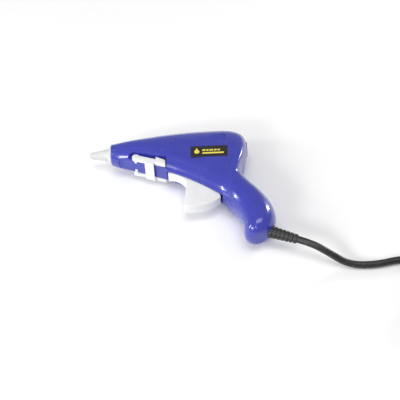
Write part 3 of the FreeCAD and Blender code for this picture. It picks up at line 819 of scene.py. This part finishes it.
@dataclass
class MainsCord:
    """Free cord from the boot, through its put-away coil, to the plug.

    Attributes:
        diameter: Outer diameter of the sheath.
        lead: Route from the boot's tip to the coil.
        tail: Route from the coil to the plug.
        coil_centre: Middle of the coil on the floor.
        outer_radius: Radius of the outer ring of turns.
        ring_step: Distance between turns that lie side by side.
        layer_step: Distance between turns that lie on each other.
        points_per_turn: Control points in each turn.
        slots: Ring and layer of each turn in order, counted from the outside and the floor.
        changes: Angle in each turn, in degrees, at which the cord is halfway to its next slot.
        change_reach: Angle on each side of that place over which it moves across.
        last_turn: Part of the last turn that is wound, in degrees.
        roundness: Extra points round the sheath.
        smoothness: Steps between control points.
    """

    diameter: float = 5.0 * MM
    lead: tuple[Point, ...] = (
        (0.06981, -0.08941, 0.0140), (0.07989, -0.09381, 0.0140), (0.0909, -0.0994, 0.0100),
        (0.1042, -0.1042, 0.0025), (0.1221, -0.1054, 0.0025), (0.1416, -0.1008, 0.0025),
        (0.1575, -0.1043, 0.0025), (0.1710, -0.1064, 0.0025))
    tail: tuple[Point, ...] = (
        (0.2128, -0.1429, 0.0072), (0.2118, -0.1568, 0.0079), (0.2040, -0.1684, 0.0104),
        (0.1914, -0.1746, 0.0136), (0.1774, -0.1736, 0.0160), (0.1658, -0.1658, 0.0170),
        (0.1597, -0.1532, 0.0170), (0.1606, -0.1392, 0.0170))
    coil_centre: tuple[float, float] = (0.180, -0.140)
    outer_radius: float = 32.9 * MM
    ring_step: float = 5.4 * MM
    layer_step: float = 5.2 * MM
    points_per_turn: int = 18
    slots: tuple[tuple[int, int], ...] = ((0, 0), (1, 0), (2, 0), (2, 1), (1, 1), (0, 1))
    changes: tuple[float, ...] = (327.0, 280.0, 233.0, 186.0, 139.0)
    change_reach: float = 30.0
    last_turn: float = 88.0
    roundness: int = 6
    smoothness: int = 8

    def build(self, shop: Workshop) -> None:
        """Args:
            shop: Workshop that holds the frame.
        """
        curve = bpy.data.curves.new("mains_cord", "CURVE")
        curve.dimensions = "3D"
        curve.bevel_depth = self.diameter / 2
        curve.bevel_resolution = self.roundness
        curve.resolution_u = self.smoothness
        route = [*self.lead, *self._coil(), *self.tail]
        spline = curve.splines.new("NURBS")
        spline.points.add(len(route) - 1)
        for point, place in zip(spline.points, route):
            point.co = (*place, 1.0)
        spline.order_u = 3
        spline.use_endpoint_u = True
        curve.materials.append(shop.finishes[Look.CORD])
        cord = bpy.data.objects.new("mains_cord", curve)
        bpy.context.scene.collection.objects.link(cord)
        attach(cord, Body.HOUSING.value)
        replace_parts(cord, "cord_lead", "cord_tail", "cord_coil")
        nodes = shop.frame["nodes"]
        pieces = [*Plug().build(shop), nodes["coil_tie"], nodes["plug_pins"]]
        LOG.info("cord of %d control points", len(route))

    def _coil(self) -> list[Point]:
        """Control points of the coil, wound from the top clockwise.

        The turns lie in three rings and two layers: inwards on the floor, up, and outwards
        on top. Each change of ring or layer is made before the next turn needs the room.

        Returns:
            The points, in metres in the frame.
        """
        step = 360.0 / self.points_per_turn
        swell = 1.0 / math.cos(math.radians(step / 2))
        full_turns = len(self.changes)
        points = []
        wound = step
        while wound < full_turns * 360.0 + self.last_turn:
            turn, place = divmod(wound, 360.0)
            ring, layer = self._slot(int(turn), place)
            radius = (self.outer_radius - ring * self.ring_step) * swell
            angle = math.radians(90.0 - wound)
            points.append((self.coil_centre[0] + radius * math.cos(angle),
                           self.coil_centre[1] + radius * math.sin(angle),
                           self.diameter / 2 + layer * self.layer_step))
            wound += step
        return points

    def _slot(self, turn: int, place: float) -> tuple[float, float]:
        """Ring and layer that the cord lies in.

        Args:
            turn: Number of full turns before this place.
            place: Angle in the present turn, in degrees.

        Returns:
            The ring and the layer, between whole numbers where it moves across.
        """
        if turn == len(self.changes):
            return self.slots[turn]
        share = (place - self.changes[turn] + self.change_reach) / (2 * self.change_reach)
        share = min(1.0, max(0.0, share))
        share = share * share * (3 - 2 * share)
        (ring, layer), (next_ring, next_layer) = self.slots[turn], self.slots[turn + 1]
        return ring + (next_ring - ring) * share, layer + (next_layer - layer) * share


@dataclass
class Plug:
    """Flat two-pin plug with a moulded grip and a short ridged sleeve for the cord.

    Attributes:
        edge: Width of the body's rounding.
        edge_segments: Steps in that rounding.
        sleeve_length: Length of the sleeve round the cord.
        sleeve_radius: Radius of the sleeve at the body.
        sleeve_sunk: How far the sleeve goes into the body.
        ridges: Number of ridges on the sleeve.
        taper: How much smaller each ridge's radius is than the one before.
        ridge_length: Length of a ridge.
        ridge_slope: How much a ridge's radius falls along it.
        groove_depth: Depth of the groove after a ridge.
        groove_start: Distance from a ridge's start to its groove.
        groove_end: Distance from a ridge's start to the end of its groove.
    """

    edge: float = 1.8 * MM
    edge_segments: int = 4
    sleeve_length: float = 9.0 * MM
    sleeve_radius: float = 3.5 * MM
    sleeve_sunk: float = 0.5 * MM
    ridges: int = 3
    taper: float = 0.25 * MM
    ridge_length: float = 1.9 * MM
    ridge_slope: float = 0.1 * MM
    groove_depth: float = 0.5 * MM
    groove_start: float = 2.0 * MM
    groove_end: float = 2.9 * MM

    def build(self, shop: Workshop) -> list[bpy.types.Object]:
        """Make the plug's body and sleeve.

        Args:
            shop: Workshop that holds the frame.

        Returns:
            The pieces.
        """
        body = shop.softened("plug_body", "plug_grip", self.edge, Look.RUBBER, Body.HOUSING,
                             Slot.PLUG, self.edge_segments)
        before, end = (Vector(point) for point in MainsCord.tail[-2:])
        mesh = lathe("plug_sleeve", self._sleeve_profile(), end, before - end)
        return [body, shop.add("plug_sleeve", mesh, Look.RUBBER, Body.HOUSING, Slot.PLUG)]

    def _sleeve_profile(self) -> list[tuple[float, float]]:
        """Distance from the body and radius along the sleeve.

        Returns:
            The profile's points.
        """
        profile = [(-self.sleeve_sunk, self.sleeve_radius)]
        for i in range(self.ridges):
            along = self.sleeve_length * i / self.ridges
            radius = self.sleeve_radius - self.taper * i
            bottom = radius - self.groove_depth
            profile += [(along, radius), (along + self.ridge_length, radius - self.ridge_slope),
                        (along + self.groove_start, bottom), (along + self.groove_end, bottom)]
        return profile


@dataclass(frozen=True)
class Lamp:
    """One soft area light.

    Attributes:
        name: Name of the light.
        place: Where it stands.
        target: Point that it faces.
        width: Its width.
        depth: Its depth.
        power: Its power in watts.
    """

    name: str
    place: Point
    target: Point
    width: float
    depth: float
    power: float

    def build(self) -> None:
        """Hang the light."""
        data = bpy.data.lights.new(self.name, "AREA")
        data.shape = "RECTANGLE"
        data.size, data.size_y, data.energy = self.width, self.depth, self.power
        lamp = bpy.data.objects.new(self.name, data)
        bpy.context.scene.collection.objects.link(lamp)
        lamp.location = self.place
        lamp.rotation_mode = "QUATERNION"
        lamp.rotation_quaternion = (Vector(self.target) - Vector(self.place)).to_track_quat("-Z", "Y")


@dataclass
class Studio:
    """Pale floor, soft lights and the camera.

    Attributes:
        eye: Place of the camera.
        aim: Point on the floor in the middle of its view.
        roll_degrees: Turn of the camera about its own axis.
        lens: Focal length for the sensor.
        sensor: Width of the sensor.
        floor_half: Half the floor's width.
        floor_drop: Distance of the floor below the object.
        floor_grey: Brightness of the floor's colour.
        floor_roughness: Roughness of the floor.
        room_strength: Strength of the even white light round everything.
        lamps: The lights.
    """

    eye: Point = (0.007065, -0.466703, 0.467992)
    aim: Point = (0.004729, -0.036653, 0.0)
    roll_degrees: float = -2.615
    lens: float = 77.883
    sensor: float = 36.0
    floor_half: float = 3.0
    floor_drop: float = 0.2 * MM
    floor_grey: float = 0.92
    floor_roughness: float = 0.75
    room_strength: float = 0.42
    lamps: tuple[Lamp, ...] = (
        Lamp("key_softbox", (-0.40, -0.62, 0.40), (0.01, -0.03, 0.014), 0.34, 0.14, 2.8),
        Lamp("left_strip", (-0.80, -0.16, 0.34), (0.04, -0.05, 0.014), 0.12, 0.34, 3.0),
        Lamp("right_strip", (0.62, 0.50, 0.26), (0.04, -0.02, 0.014), 0.10, 0.26, 2.2),
        Lamp("ceiling_panel", (0.10, -0.30, 1.60), (0.01, -0.03, 0.014), 1.20, 0.80, 10.0))

    def build(self) -> None:
        """Set the stage, the lights and the camera."""
        self._floor()
        self._room()
        for lamp in self.lamps:
            lamp.build()
        self._camera()
        bpy.context.scene.view_settings.view_transform = "Standard"

    def _floor(self) -> None:
        """Lay the floor just under the object."""
        half, height = self.floor_half, -self.floor_drop
        corners_of_floor = [(-half, -half, height), (half, -half, height), (half, half, height),
                            (-half, half, height)]
        mesh = bpy.data.meshes.new("floor")
        mesh.from_pydata(corners_of_floor, [], [(0, 1, 2, 3)])
        floor = bpy.data.objects.new("floor", mesh)
        bpy.context.scene.collection.objects.link(floor)
        material = bpy.data.materials.new("pale_floor")
        material.use_nodes = True
        shader = material.node_tree.nodes["Principled BSDF"]
        shader.inputs["Base Color"].default_value = (*[self.floor_grey] * 3, 1.0)
        shader.inputs["Roughness"].default_value = self.floor_roughness
        mesh.materials.append(material)

    def _room(self) -> None:
        """Fill the room with even white light."""
        world = bpy.data.worlds.new("room")
        world.use_nodes = True
        backdrop = world.node_tree.nodes["Background"]
        backdrop.inputs["Color"].default_value = (1.0, 1.0, 1.0, 1.0)
        backdrop.inputs["Strength"].default_value = self.room_strength
        bpy.context.scene.world = world

    def _camera(self) -> None:
        """Stand the camera where it sees the object from above its lower side."""
        data = bpy.data.cameras.new("camera")
        data.lens, data.sensor_width = self.lens, self.sensor
        data.clip_start, data.clip_end = 0.01, 20.0
        camera = bpy.data.objects.new("camera", data)
        bpy.context.scene.collection.objects.link(camera)
        camera.location = self.eye
        level = (Vector(self.aim) - Vector(self.eye)).to_track_quat("-Z", "Y")
        camera.rotation_mode = "QUATERNION"
        camera.rotation_quaternion = level @ Quaternion((0, 0, 1), math.radians(self.roll_degrees))
        bpy.context.scene.camera = camera


def main() -> None:
    """Build every sub-assembly in order."""
    logging.basicConfig(level=logging.INFO, format="%(message)s")
    shop = Workshop()
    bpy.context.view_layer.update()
    shop.dress()
    MainsCord().build(shop)
    NozzleCover().build(shop)
    ReturnSpring().build(shop)
    Label().build(shop)
    SoftPieces().build(shop)
    Studio().build()


if __name__ == "__main__":
    main()
